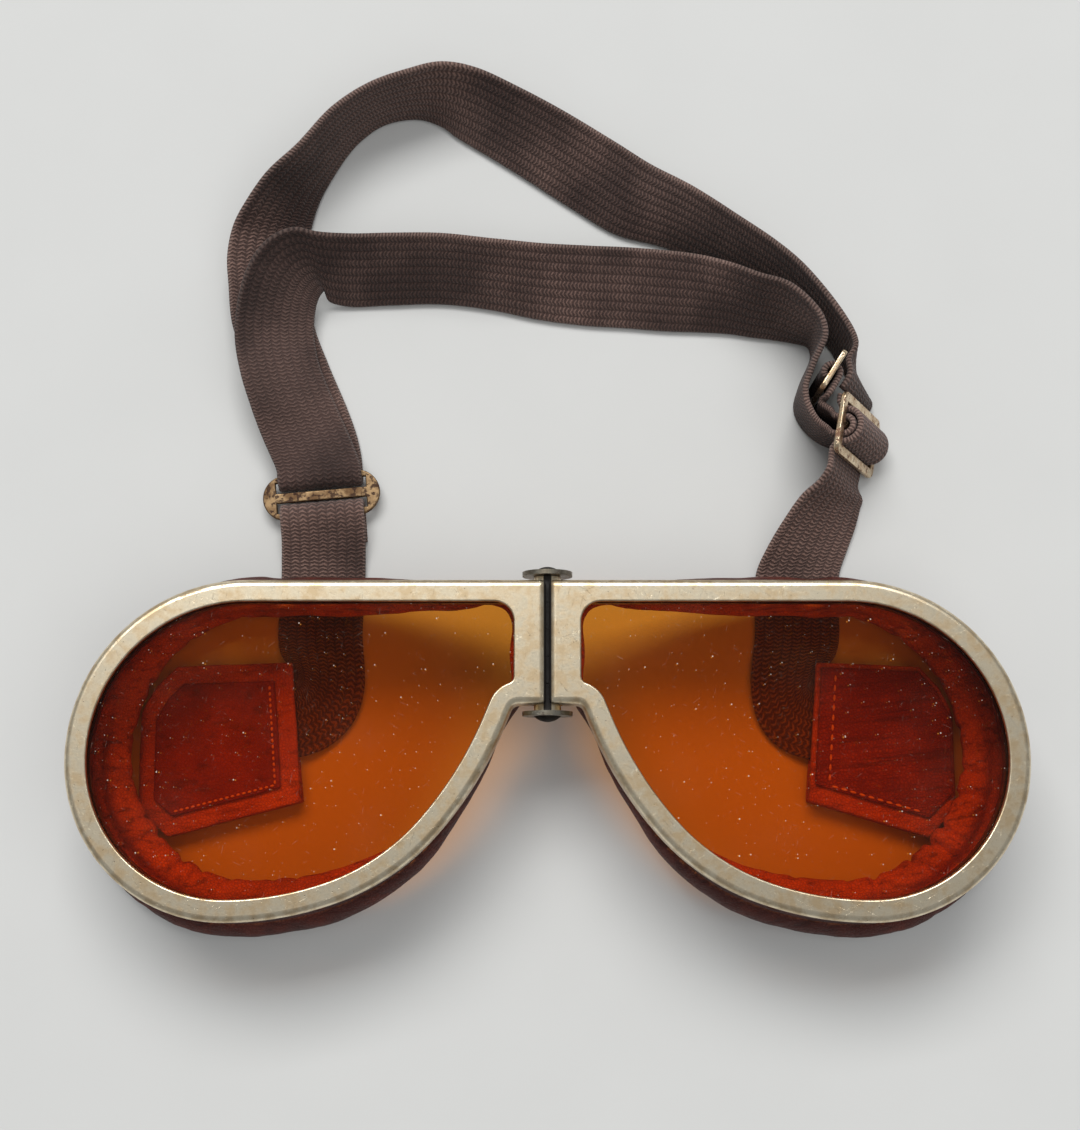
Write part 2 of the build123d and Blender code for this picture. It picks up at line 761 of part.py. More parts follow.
def pieces():
    """Every piece by its name, in the drawing's own place."""
    cup = cup_wall()
    washer_top = knuckle_proud + knuckle_gap + washer_thickness
    found = {
        "hinge_pin": hinge_pin(),
        "upper_washer": washer(washer_top),
        "lower_washer": washer(-bar_height - knuckle_proud - knuckle_gap),
        "left_buckle": left_buckle(),
        "right_buckle": right_buckle(),
        "strap_slider": slider(),
        "left_webbing": left_webbing(),
        "right_webbing": right_webbing(),
        "long_strap": long_strap(),
    }
    roll = cushion(cup)
    sides = ("left", 0, left_tab_end, patch_border), ("right", 1, right_tab_end, patch_edge)
    for side, first, end, edge in sides:
        mirrored = {
            "rim": rim(first),
            "lens": lens(),
            "gasket": gasket(),
            "retainer": retainer(),
            "cup": cup,
            "cushion": roll,
            "tab": tab(end),
            "tab_patch": patch(end, edge),
        }
        for kind, piece in mirrored.items():
            found[f"{side}_{kind}"] = mirror(piece, about=Plane.YZ) if side == "left" else piece
    return found


made = pieces()
box = Compound([solid for piece in made.values() for solid in piece.solids()]).bounding_box()
shift = Vector(-box.center().X, -box.center().Y, 0)
print("origin moved by", shift, "box", box)
print("hinge axis at", shift + Vector(0, 0, hinge_height))
print("left buckle bar at", shift + plate_place - plate_north * plate_bar_offset, "along", plate_along)
print("right buckle at", shift + buckle_place, "along", buckle_along)
print("slider at", shift + slider_centre, "along", slider_along)
for name, piece in made.items():
    solids = piece.solids()
    if len(solids) != 1 or not solids[0].is_valid:
        print("check", name, len(solids), [solid.is_valid for solid in solids])
    export_step(Pos(shift.X, shift.Y, 0) * solids[0], f"parts/{name}.step")
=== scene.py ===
import math

import bpy
import numpy as np
from mathutils import Matrix, Vector, noise
from mathutils.bvhtree import BVHTree


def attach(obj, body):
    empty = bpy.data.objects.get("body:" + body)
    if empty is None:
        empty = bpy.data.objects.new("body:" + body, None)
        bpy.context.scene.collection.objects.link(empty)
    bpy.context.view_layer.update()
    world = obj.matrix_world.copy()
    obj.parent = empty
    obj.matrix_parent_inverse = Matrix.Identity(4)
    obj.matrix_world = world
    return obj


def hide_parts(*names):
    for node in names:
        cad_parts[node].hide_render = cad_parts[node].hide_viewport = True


# Flying goggles on a pale table: amber lenses, nickelled rims, red leather and elastic webbing.
# Places are typed in millimetres: x from the bridge, y from its edge at the brow, z from the table.
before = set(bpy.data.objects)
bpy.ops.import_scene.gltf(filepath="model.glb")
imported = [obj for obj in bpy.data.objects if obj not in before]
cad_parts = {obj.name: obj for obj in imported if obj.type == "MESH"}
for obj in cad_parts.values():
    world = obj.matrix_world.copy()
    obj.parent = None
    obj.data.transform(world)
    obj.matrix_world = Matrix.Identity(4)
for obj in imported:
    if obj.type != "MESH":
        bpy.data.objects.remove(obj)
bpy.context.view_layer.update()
MM = 0.001
BRIDGE = Vector((0, -20.0288, 0))

# No soft piece comes nearer to the table than this
LOWEST = 0.02

# The webbing: its width, its thickness, its gap to the table, the ribs across it, and the length
# of one stitch on its ribs and on its edges
WIDTH = 16.0
THICK = 1.2
TABLE_GAP = 0.1
RIBS = 9
RIB_STITCH = 0.74
EDGE_STITCH = 0.6


def placed(x, y, z):
    """A measured place, in metres from the model's origin."""
    return (Vector((x, y, z)) + BRIDGE) * MM


def tone(red, green, blue):
    """A colour as a picture would name it, 0 to 255, as the shader wants it."""
    levels = (level / 255 for level in (red, green, blue))
    return tuple(((v + 0.055) / 1.055) ** 2.4 if v > 0.04045 else v / 12.92 for v in levels)


class Wire:
    """A shader socket that takes part in ordinary sums."""

    def __init__(self, paint, socket):
        self.paint = paint
        self.socket = socket

    def sum(self, operation, *values):
        """One sum over these values, each one a number or a Wire."""
        return self.paint.node("Math", {"operation": operation}, dict(enumerate(values)))

    def __add__(self, other):
        return self.sum("ADD", self, other)

    def __sub__(self, other):
        return self.sum("SUBTRACT", self, other)

    def __rsub__(self, other):
        return self.sum("SUBTRACT", other, self)

    def __mul__(self, other):
        return self.sum("MULTIPLY", self, other)

    def __truediv__(self, other):
        return self.sum("DIVIDE", self, other)

    def __abs__(self):
        return self.sum("ABSOLUTE", self)

    __radd__ = __add__
    __rmul__ = __mul__

    def part(self):
        """What is left after the whole number."""
        return self.sum("FRACT", self)

    def swing(self):
        """A wave from 0 to 1, one for each whole turn."""
        return self.sum("SINE", self * math.tau) * 0.5 + 0.5

    def between(self, low, high):
        """0 at low, 1 at high, and smooth from one to the other."""
        return self.paint.node(
            "MapRange",
            {"interpolation_type": "SMOOTHSTEP"},
            {"Value": self, "From Min": low, "From Max": high},
        )


class Paint:
    """A material and the nodes that make its pattern."""

    def __init__(self, name):
        self.material = bpy.data.materials.new(name)
        self.material.use_nodes = True
        self.tree = self.material.node_tree
        self.surface = self.tree.nodes["Principled BSDF"]
        self.place = self.node("TexCoord", output="Object")

    def node(self, kind, settings=None, sockets=None, output=0):
        """A new shader node with its settings and inputs, as the Wire from one of its outputs."""
        made = self.tree.nodes.new("ShaderNode" + kind)
        for key, value in (settings or {}).items():
            setattr(made, key, value)
        for key, value in (sockets or {}).items():
            self.feed(made.inputs[key], value)
        return Wire(self, made.outputs[output])

    def feed(self, socket, value):
        """A socket gets its link, its colour or its number."""
        if isinstance(value, Wire):
            self.tree.links.new(value.socket, socket)
        elif socket.type == "RGBA" and len(value) == 3:
            socket.default_value = (*value, 1)
        else:
            socket.default_value = value

    def clouds(self, size, detail=2.0, place=None, roughness=0.5):
        """Noise whose patches are about size millimetres across."""
        sockets = {
            "Vector": place or self.place,
            "Scale": 1 / (size * MM),
            "Detail": detail,
            "Roughness": roughness,
        }
        return self.node("TexNoise", {}, sockets)

    def streaks(self, turn, length, width, detail=1.0):
        """Noise drawn out into streaks at an angle to X, length by width millimetres."""
        sockets = {
            "Vector": self.place,
            "Rotation": (0, 0, math.radians(turn)),
            "Scale": (length, width, width),
        }
        return self.clouds(1, detail, self.node("Mapping", {"vector_type": "TEXTURE"}, sockets))

    def axis(self, place, number):
        """One number of a place: 0 for X and 1 for Y."""
        return self.node("SeparateXYZ", {}, {0: place}, output=number)

    def mix(self, share, first, second):
        """The first colour where the share is 0, and the second where it is 1."""
        return self.node("Mix", {"data_type": "RGBA"}, {0: share, 6: first, 7: second}, output=2)

    def painted(self, name):
        """A share that is kept with each vertex of the mesh."""
        return self.node("Attribute", {"attribute_name": name}, output="Fac")

    def relief(self, height, depth):
        """Bumps on the surface, depth millimetres high."""
        bumps = self.node("Bump", {}, {"Height": height, "Distance": depth * MM})
        self.feed(self.surface.inputs["Normal"], bumps)

    def give(self, sockets):
        """The finished material, with these values or links on its shader."""
        for key, value in sockets.items():
            self.feed(self.surface.inputs[key], value)
        return self.material


def worn_metal(name, bright, shade, stain, matt, rust, gap=0):
    """Old plating: cloudy, scratched and stained, and painted black as shade within a gap of the
    hinge's line.
    """
    paint = Paint(name)
    cloud = paint.clouds(2.6, 5, roughness=0.6).between(0.36, 0.66)
    grain = paint.clouds(0.35, 3)
    scratches = paint.streaks(28, 7, 0.12).between(0.72, 0.78)
    for turn in (-52, 74, 151):
        scratches += paint.streaks(turn, 6, 0.1).between(0.73, 0.78)
    pits = paint.clouds(0.55, 2).between(0.70, 0.76)
    spots = paint.clouds(1.1, 4, roughness=0.65).between(rust, rust + 0.07)
    colour = paint.mix(cloud, bright, shade)
    colour = paint.mix(grain.between(0.5, 0.75) * 0.35, colour, shade)
    colour = paint.mix(spots * 0.85, colour, stain)
    colour = paint.mix(pits * 0.6, colour, stain)
    metallic = 1 - spots * 0.75
    rough = cloud * 0.1 + grain * 0.16 + spots * 0.35 + (matt - 0.12)
    if gap:
        # Painted shade: near the hinge line the rims are darker, less metallic and rougher, where
        # the gap between them lies in shadow.
        hinge_gap_shade = abs(paint.axis(paint.place, 0)).between((gap + 0.1) * MM, gap * MM)
        colour = paint.mix(hinge_gap_shade, colour, tone(26, 21, 17))
        metallic *= 1 - hinge_gap_shade
        rough += hinge_gap_shade * 0.3
    paint.relief(grain * 0.35 + scratches * 0.8 - spots - pits * 1.5, 0.02)
    return paint.give({"Base Color": colour, "Metallic": metallic, "Roughness": rough})


def leather(name, deep, worn, matt, crease=0.25, fold=(4, 1.2), lining=None):
    """Old dyed leather: fine grain, creases and rubbed patches, and paler where it has a lining;
    painted shade darkens the hollows of the creases.
    """
    paint = Paint(name)
    sockets = {"Vector": paint.place, "Scale": 1700}
    cells = paint.node("TexVoronoi", {"feature": "DISTANCE_TO_EDGE"}, sockets)
    grain = cells.between(0.0, 0.16)
    pores = paint.clouds(0.28, 2)
    creases = paint.streaks(6, *fold, 4)
    rubbed = paint.clouds(7, 5, roughness=0.6).between(0.42, 0.72)
    colour = paint.mix(rubbed, deep, worn)
    rough = matt + rubbed * 0.12 + (1 - grain) * 0.12
    if lining:
        pale = paint.painted("lining")
        handled = tuple(level * 0.72 for level in lining)
        colour = paint.mix(pale, colour, paint.mix(rubbed, lining, handled))
        rough += pale * 0.15
    dark = tuple(level * 0.3 for level in deep)
    colour = paint.mix((1 - grain) * 0.25, colour, dark)
    # Painted shade: the leather is darkened in the hollows of its creases.
    colour = paint.mix(creases.between(0.5, 0.3) * 0.5, colour, dark)
    paint.relief(grain * 0.35 + pores * 0.25 + creases * 1.6, crease)
    return paint.give({"Base Color": colour, "Roughness": rough, "Specular IOR Level": 0.3})


def elastic_webbing(name, fade_and_painted_light, painted_shade_span=None):
    """Knitted elastic: a column of chevrons on each rib and overcast edges, with painted shade in
    the furrows, painted highlight on the stitches, and a length darkened as painted shade.
    """
    paint = Paint(name)
    chart = paint.node("UVMap")
    across = paint.axis(chart, 0)
    along = paint.axis(chart, 1)
    side = abs((across * RIBS).part() - 0.5) * 2
    wander = (paint.clouds(0.9, 3) - 0.5) * 0.9
    stitch = (along / (RIB_STITCH * MM) + side * 0.55 + wander).swing().between(0.2, 1.0)
    furrow = side.between(1.0, 0.6)
    selvedge = abs(across - 0.5).between(0.46, 0.48)
    overcast = (along / (EDGE_STITCH * MM) + across * 6 + wander).swing()
    height = paint.node("Mix", {}, {0: selvedge, 2: stitch * (furrow * 0.75 + 0.25), 3: overcast})
    yarn = paint.clouds(0.22, 3, roughness=0.7)
    fuzz = paint.clouds(0.11, 2).between(0.6, 0.76)
    # This shift moves the wear towards its lighter tones: partly real fading, partly painted light
    # for the short webbings that lie flat and face up.
    wear = paint.clouds(26, 5).between(0.38 - fade_and_painted_light, 0.66 - fade_and_painted_light)
    stretched = paint.node("Mapping", {}, {"Vector": chart, "Scale": (22, 60, 1)})
    ladder = paint.clouds(1, 2, stretched).between(0.4, 0.65)
    dark = paint.mix(wear, tone(36, 23, 19), tone(64, 46, 41))
    light = paint.mix(wear, tone(82, 57, 49), tone(148, 117, 105))
    # Painted shade and highlight: the furrows are darker and the raised stitches lighter, mixed
    # with the yarn's own mottling.
    colour = paint.mix(height * 0.6 + (yarn - 0.5) * 1.3 + 0.05, dark, light)
    colour = paint.mix(ladder * 0.3, colour, dark)
    colour = paint.mix(fuzz * 0.4, colour, tone(152, 127, 120))
    colour = paint.mix(selvedge * overcast * 0.3, colour, tone(150, 128, 118))
    # Painted shade: the strap is darkened over a length along its run, where it leans away from the
    # light.
    if painted_shade_span:
        start, end = painted_shade_span
        painted_shade = along.between(start * MM, (start + 18) * MM)
        painted_shade *= along.between(end * MM, (end - 12) * MM)
        colour = paint.mix(painted_shade * 0.5, colour, dark)
    paint.relief(height + yarn * 0.7, 0.15)
    sheen = {"Sheen Weight": 0.1, "Sheen Roughness": 0.5}
    return paint.give({"Base Color": colour, "Roughness": 0.92, **sheen})


def amber_glass(name):
    """Clear amber pane with dust, lint and hairline scratches."""
    paint = Paint(name)
    dust = paint.clouds(14, 4).between(0.45, 0.8) * 0.006
    for scale, reach, least in ((340, 0.036, 0.5), (640, 0.045, 0.6), (150, 0.026, 0.4)):
        sockets = {"Vector": paint.place, "Scale": scale}
        spot = paint.node("TexVoronoi", {"voronoi_dimensions": "2D"}, sockets)
        chance = paint.node("TexVoronoi", {"voronoi_dimensions": "2D"}, sockets, output=1)
        dust += spot.between(reach, reach * 0.4) * chance.between(least, least + 0.4) * 0.7
    for turn in (38, -25, 80):
        dust += paint.streaks(turn, 3.5, 0.1).between(0.76, 0.8) * 0.2
    paint.give({"Base Color": tone(222, 204, 184), "Roughness": 0.75})
    amber = (0.9, 0.56, 0.17, 1)
    tint = paint.node("BsdfTransparent", {}, {"Color": amber})
    shine = paint.node("BsdfGlossy", {}, {"Color": (1, 1, 1, 1), "Roughness": 0.03})
    mirror = paint.node("Fresnel", {}, {"IOR": 1.45}) * 0.35
    clear = paint.node("MixShader", {}, {0: mirror, 1: tint, 2: shine})
    specks = Wire(paint, paint.surface.outputs[0])
    dusty = paint.node("MixShader", {}, {0: dust, 1: clear, 2: specks})
    paint.feed(paint.tree.nodes["Material Output"].inputs["Surface"], dusty)
    return paint.material


def black_rubber(name):
    """Old black rubber, a little clouded."""
    paint = Paint(name)
    cloud = paint.clouds(3, 3)
    paint.relief(paint.clouds(0.4, 2), 0.05)
    colour = paint.mix(cloud, tone(28, 26, 25), tone(46, 43, 40))
    return paint.give({"Base Color": colour, "Roughness": 0.6 + cloud * 0.2})


def waxed_thread(name):
    """Pale thread, mottled along its length."""
    paint = Paint(name)
    colour = paint.mix(paint.clouds(0.3, 2), tone(196, 122, 78), tone(232, 176, 126))
    return paint.give({"Base Color": colour, "Roughness": 0.7})


def pale_table(name):
    """A plain pale surface that is nearly even."""
    paint = Paint(name)
    colour = paint.mix(paint.clouds(30, 3), (0.54, 0.54, 0.525), (0.57, 0.57, 0.555))
    return paint.give({"Base Color": colour, "Roughness": 0.9, "Specular IOR Level": 0.1})


# The rims: gap sets the width of the painted shade along the hinge's line.
NICKEL = worn_metal(
    "worn_nickel", tone(232, 218, 190), tone(194, 172, 138), tone(112, 88, 64),
    matt=0.35, rust=0.73, gap=0.66,
)
TARNISHED = worn_metal(
    "tarnished_steel", tone(150, 144, 130), tone(106, 98, 84), tone(54, 38, 28),
    matt=0.38, rust=0.58,
)
BLACKENED = worn_metal(
    "blackened_steel", tone(44, 38, 32), tone(26, 22, 18), tone(20, 14, 10),
    matt=0.6, rust=0.58,
)
GILT = worn_metal(
    "rusted_gilt", tone(144, 119, 88), tone(100, 76, 54), tone(58, 33, 21),
    matt=0.48, rust=0.51,
)
BRIGHT = worn_metal(
    "bright_buckle", tone(226, 206, 174), tone(184, 152, 116), tone(104, 62, 40),
    matt=0.28, rust=0.55,
)
# The cup's lining: paler inner leather, brightened past its own tone as painted light, so that the
# inner wall in shade looks lit.
CUP_LEATHER = leather(
    "cup_leather", tone(66, 28, 22), tone(90, 42, 33),
    matt=0.44, lining=tone(232, 172, 118),
)
ROLL_LEATHER = leather(
    "roll_leather", tone(74, 32, 25), tone(100, 46, 35),
    matt=0.46, lining=tone(204, 122, 74),
)
TAB_LEATHER = leather("tab_leather", tone(176, 96, 56), tone(200, 122, 76), matt=0.5)
LEFT_FACING = leather(
    "left_facing_leather", tone(126, 48, 32), tone(146, 62, 40),
    matt=0.45, crease=0.15, fold=(3, 2),
)
RIGHT_FACING = leather(
    "right_facing_leather", tone(132, 52, 34), tone(158, 72, 46),
    matt=0.42, crease=0.4, fold=(14, 0.8),
)
# The long strap: the length from 142 to 212 mm along its run is darkened as painted shade.
WEBBING = elastic_webbing("elastic_webbing", fade_and_painted_light=0, painted_shade_span=(142, 212))
# The short webbings: a lighter copy of the webbing, partly faded and partly painted light.
FADED_AND_LIT_WEBBING = elastic_webbing("faded_and_lit_elastic_webbing", fade_and_painted_light=0.14)
GLASS = amber_glass("amber_glass")
RUBBER = black_rubber("black_rubber")
THREAD = waxed_thread("waxed_thread")


def dress(node, material):
    """A CAD node keeps its shape and gets its finish."""
    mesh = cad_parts[node].data
    mesh.materials.clear()
    mesh.materials.append(material)


def choose(obj):
    """Only this object is selected and active."""
    bpy.ops.object.select_all(action="DESELECT")
    obj.select_set(True)
    bpy.context.view_layer.objects.active = obj


def settle(obj, modifier):
    """The modifier becomes part of the mesh."""
    choose(obj)
    bpy.ops.object.modifier_apply(modifier=modifier.name)


def fasten(obj, body, material, slot, *nodes):
    """A finished piece gets its material, rides on its body and stands for its CAD nodes."""
    obj.data.materials.clear()
    obj.data.materials.append(material)
    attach(obj, body)
    if nodes:
        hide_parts(*nodes)


def ease(obj, rounds, factor=0.5):
    """Soft skin: the mesh is relaxed a few times."""
    relax = obj.modifiers.new("relax", "SMOOTH")
    relax.factor = factor
    relax.iterations = rounds
    settle(obj, relax)


def skin_of(node, name, voxel, rounds):
    """An even, closed skin over a CAD node, ready to be shaped."""
    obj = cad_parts[node].copy()
    obj.data = obj.data.copy()
    obj.name = name
    obj.parent = None
    for key in list(obj.keys()):
        del obj[key]
    bpy.context.scene.collection.objects.link(obj)
    obj.hide_render = False
    obj.hide_viewport = False
    choose(obj)
    bpy.ops.object.mode_set(mode="EDIT")
    bpy.ops.mesh.select_all(action="SELECT")
    bpy.ops.mesh.remove_doubles(threshold=1e-6)
    bpy.ops.object.mode_set(mode="OBJECT")
    skin = obj.modifiers.new("skin", "REMESH")
    skin.mode = "VOXEL"
    skin.voxel_size = voxel * MM
    settle(obj, skin)
    ease(obj, rounds)
    bpy.ops.object.shade_smooth()
    return obj


def measured(obj):
    """Each vertex's place, in millimetres from the bridge, and its normal."""
    count = len(obj.data.vertices)
    places = np.empty(count * 3)
    normals = np.empty(count * 3)
    obj.data.vertices.foreach_get("co", places)
    obj.data.vertices.foreach_get("normal", normals)
    return places.reshape(-1, 3) / MM - np.array(BRIDGE), normals.reshape(-1, 3)


def push(obj, rise):
    """Each vertex moves along its normal by rise millimetres, and none goes below the table."""
    places, normals = measured(obj)
    places += normals * rise[:, None]
    places[:, 2] = np.maximum(places[:, 2], LOWEST)
    places = (places + np.array(BRIDGE)) * MM
    obj.data.vertices.foreach_set("co", places.ravel())
    obj.data.update()


def ripple(places, size, seed):
    """Soft noise at each place, from about -1 to 1, whose waves are size millimetres long."""
    shift = Vector((seed * 7.3, seed * 3.1, seed * 5.7))
    return np.array([noise.noise(Vector(place) / size + shift) for place in places])


def smooth_step(values, low, high):
    """0 at low, 1 at high, and smooth from one to the other."""
    share = np.clip((values - low) / (high - low), 0, 1)
    return share * share * (3 - 2 * share)


# Middle of each eyepiece, as distances from the bridge
EYE = (52.7, -31.0)


def round_the_eye(places):
    """Angle of each place about the middle of its eyepiece, 0 at the temple, the cheek below 0."""
    return np.degrees(np.arctan2(places[:, 1] - EYE[1], np.abs(places[:, 0]) - EYE[0]))


def about(angles, middle, spread):
    """A bell: 1 at the middle angle, fading over its spread on both sides."""
    return np.exp(-(((angles - middle) / spread) ** 2))


def towards_the_eye(places, arrows):
    """How far each arrow reaches towards the middle of its eyepiece."""
    middle = np.stack([np.sign(places[:, 0]) * EYE[0], np.full(len(places), EYE[1])], axis=1)
    way = middle - places[:, :2]
    way /= np.linalg.norm(way, axis=1)[:, None]
    return (way * arrows[:, :2]).sum(axis=1)


def turned_inwards(places, normals):
    """How much each vertex faces the middle of its eyepiece, from 0 to 1."""
    return smooth_step(towards_the_eye(places, normals), -0.15, 0.3)


def within_the_wall(obj, wall):
    """How much each vertex that faces up lies inside the cup's wall, from 0 to 1."""
    places, normals = measured(obj)
    corners = [vertex.co for vertex in wall.data.vertices]
    tree = BVHTree.FromPolygons(corners, [face.vertices for face in wall.data.polygons])
    nearest = np.array([tree.find_nearest(vertex.co)[0] for vertex in obj.data.vertices])
    inside = towards_the_eye(places, places - (nearest / MM - np.array(BRIDGE)))
    return smooth_step(inside, -0.3, 0.3) * smooth_step(normals[:, 2], -0.1, 0.3)


def keep_lining(obj, pale):
    """The paler inner side is written on the mesh, where its leather reads it."""
    lining = obj.data.attributes.new("lining", "FLOAT", "POINT")
    lining.data.foreach_set("value", pale)


# Gathers in the cushion covers: angle about the eye, width in degrees, depth in millimetres, slant
GATHERS = {
    "left": (
        (-112, 2.4, 0.4, 0.8), (-96, 2.2, 0.4, -0.6), (-81, 2.4, 0.6, 1.2), (-66, 2.2, 0.8, 1.0),
        (-52, 2.2, 1.0, -0.8), (-39, 2.0, 0.9, 1.4), (-25, 2.0, 0.7, -1.0), (-8, 2.2, 0.6, 0.7),
        (12, 2.4, 0.5, -0.6), (34, 2.4, 0.5, 0.9), (58, 2.6, 0.4, -0.7), (80, 2.6, 0.3, 0.8),
    ),
    "right": (
        (-108, 2.4, 0.4, -0.7), (-88, 2.2, 0.6, 0.9), (-70, 2.0, 1.0, -1.1), (-56, 1.8, 1.4, 1.3),
        (-43, 1.8, 1.5, 0.8), (-30, 1.8, 1.3, -1.2), (-17, 1.9, 1.1, 1.1), (-3, 1.9, 0.8, -0.8),
        (14, 2.2, 0.6, 0.7), (36, 2.4, 0.4, -0.9), (60, 2.6, 0.4, 0.7), (82, 2.6, 0.3, -0.6),
    ),
}

# Each gather crosses its angle at this height. For each millimetre of its depth the leather
# swells beside it and is pinched in along it so far
GATHER_HEIGHT = 5
GATHER_SWELL = 0.7
GATHER_PINCH = 1.2

# How far the roll's inner side stands back from its widest, by angle about the eye
SLIM_AT = (-180, -150, -120, -95, 20, 50, 80, 180)
SLIM_BY = (2.8, 2.2, 0.9, 0.2, 0, 1.4, 2.6, 2.8)

# How far the roll stands over its solid, how far it swells inside the temple and inside the
# cheek, and how far its outer side stands back beside the bridge
STUFFING = 0.2
TEMPLE_SWELL = 1.8
CHEEK_SWELL = 1.6
BRIDGE_TRIM = 0.9


def cushion(side, seed, wall):
    """Padded roll: its leather gathers on the inner side and swells over the end of the tab."""
    roll = skin_of(f"{side}_cushion", f"{side}_padded_roll", voxel=0.55, rounds=6)
    places, normals = measured(roll)
    inwards = turned_inwards(places, normals)
    angle = round_the_eye(places)
    lift = places[:, 2]
    rise = STUFFING + ripple(places, 9, seed) * 0.22 + ripple(places, 3.5, seed + 5) * 0.12
    for at, width, depth, slant in GATHERS[side]:
        bend = angle - at - slant * (lift - GATHER_HEIGHT)
        fold = GATHER_SWELL * about(bend, 0, width * 3) - GATHER_PINCH * about(bend, 0, width)
        rise += depth * fold * (0.1 + 0.9 * inwards)
    temple = TEMPLE_SWELL * about(angle, -20, 42)
    rise += temple * inwards * smooth_step(lift, 5.4, 6.2)
    cheek = CHEEK_SWELL * about(angle, -50, 50)
    rise += cheek * inwards * smooth_step(normals[:, 2], 0.1, 0.7)
    rise -= np.interp(angle, SLIM_AT, SLIM_BY) * inwards
    rise -= BRIDGE_TRIM * smooth_step(-np.abs(places[:, 0]), -24, -12) * (1 - inwards)
    push(roll, rise)
    ease(roll, 1, 0.4)
    keep_lining(roll, np.maximum(turned_inwards(*measured(roll)), within_the_wall(roll, wall)))
    fasten(roll, f"{side}_eyepiece", ROLL_LEATHER, "cushion_leather", f"{side}_cushion")


def cup(side, seed):
    """Leather cup, a little uneven where it has been pressed by hand and worn."""
    wall = skin_of(f"{side}_cup", f"{side}_leather_cup", voxel=0.4, rounds=2)
    places = measured(wall)[0]
    push(wall, (ripple(places, 11, seed) - 0.2) * 0.12)
    # The inner side gets the paler lining, which on the cup also carries painted light.
    keep_lining(wall, turned_inwards(*measured(wall)))
    fasten(wall, f"{side}_eyepiece", CUP_LEATHER, "cup_leather", f"{side}_cup")
    return wall


def tab(side, facing, seed):
    """Doubled leather tab and its facing, with soft edges and wrinkled faces."""
    for node, name, material, slot in (
        (f"{side}_tab", f"{side}_leather_tab", TAB_LEATHER, "tab_leather"),
        (f"{side}_tab_patch", f"{side}_leather_facing", facing, "patch_leather"),
    ):
        piece = skin_of(node, name, voxel=0.3, rounds=3)
        places = measured(piece)[0]
        push(piece, ripple(places, 6, seed) * 0.1)
        fasten(piece, f"{side}_eyepiece", material, slot, node)


# Top of the facings, width of their thread, and how much of the pitch a stitch takes
FACING_TOP = 5.3
THREAD_WIDTH = 0.5
STITCH_SHARE = 0.7


def stitches(name, body, pitch, *line):
    """A line of stitches on a facing, each one a small ball drawn out along the line."""
    corners = [Vector((x, y, FACING_TOP)) for x, y in line]
    bpy.ops.object.select_all(action="DESELECT")
    bpy.ops.mesh.primitive_uv_sphere_add(segments=8, ring_count=6, radius=0.5 * MM)
    first = bpy.context.active_object
    first.data.transform(Matrix.Diagonal((pitch * STITCH_SHARE, THREAD_WIDTH, THREAD_WIDTH, 1)))
    bpy.ops.object.shade_smooth()
    beads = []
    for start, end in zip(corners, corners[1:]):
        way = end - start
        count = max(1, round(way.length / pitch))
        for number in range(count):
            bead = first.copy()
            bead.data = first.data.copy()
            bead.data.transform(Matrix.Rotation(math.atan2(way.y, way.x), 4, "Z"))
            middle = start.lerp(end, (number + 0.5) / count)
            bead.data.transform(Matrix.Translation(placed(*middle)))
            bpy.context.scene.collection.objects.link(bead)
            beads.append(bead)
    bpy.data.objects.remove(first)
    for bead in beads:
        bead.select_set(True)
    bpy.context.view_layer.objects.active = beads[0]
    bpy.ops.object.join()
    beads[0].name = name
    fasten(beads[0], body, THREAD, "patch_leather")


def heading(bearing, lean=0):
    """A unit vector at a bearing from +X, leaning up from the table."""
    flat = math.cos(math.radians(lean))
    turn = math.radians(bearing)
    return Vector((math.cos(turn) * flat, math.sin(turn) * flat, math.sin(math.radians(lean))))


def lying(*rows):
    """Stations from rows of the lower edge's place, its lift, and the bearing and lean across."""
    found = []
    for x, y, lift, bearing, lean in rows:
        sole = TABLE_GAP + THICK / 2 * math.cos(math.radians(lean))
        found.append((Vector((x, y, lift + sole)), heading(bearing, lean)))
    return found


# The angle between two stations round a bar, and the length between two places on the smooth route
TURN_STEP = 22.5
ROUTE_STEP = 0.8
LEAST_LENGTH = 0.05


def turn_round(centre, across, first, second, radius, start=0, end=180):
    """Stations round a bar, from first towards second."""
    count = round(abs(end - start) / TURN_STEP)
    found = []
    for number in range(count + 1):
        angle = math.radians(start + (end - start) * number / count)
        arm = first * (radius * math.cos(angle)) + second * (radius * math.sin(angle))
        found.append((centre - across * (WIDTH / 2) + arm, across))
    return found


def slope(p, q, r, first, second, span):
    """Direction of the smooth line at q, from its neighbours and the steps to them."""
    return ((q - p) / first - (r - p) / (first + second) + (r - q) / second) * span


def smooth_route(stations):
    """Middles and directions across, close together on a smooth line through the stations."""
    middles = [place + across * (WIDTH / 2) for place, across in stations]
    ways = [across for place, across in stations]
    last = len(stations) - 1
    found = []
    for number in range(last):
        ends = [max(number - 1, 0), number, number + 1, min(number + 2, last)]
        before, here, there, after = (middles[end] for end in ends)
        pairs = ((before, here), (here, there), (there, after))
        first, second, third = (max((q - p).length, LEAST_LENGTH) ** 0.5 for p, q in pairs)
        count = max(1, round((there - here).length / ROUTE_STEP))
        for part in range(count):
            share = part / count
            square, cube = share * share, share * share * share
            places = []
            for knots in (middles, ways):
                p, q, r, s = (knots[end] for end in ends)
                into = slope(p, q, r, first, second, second) if number else r - q
                away = slope(q, r, s, second, third, second) if number < last - 1 else r - q
                places.append(
                    q * (2 * cube - 3 * square + 1)
                    + into * (cube - 2 * square + share)
                    + r * (3 * square - 2 * cube)
                    + away * (cube - square)
                )
            found.append((places[0], places[1].normalized()))
    found.append((middles[last], ways[last]))
    return found


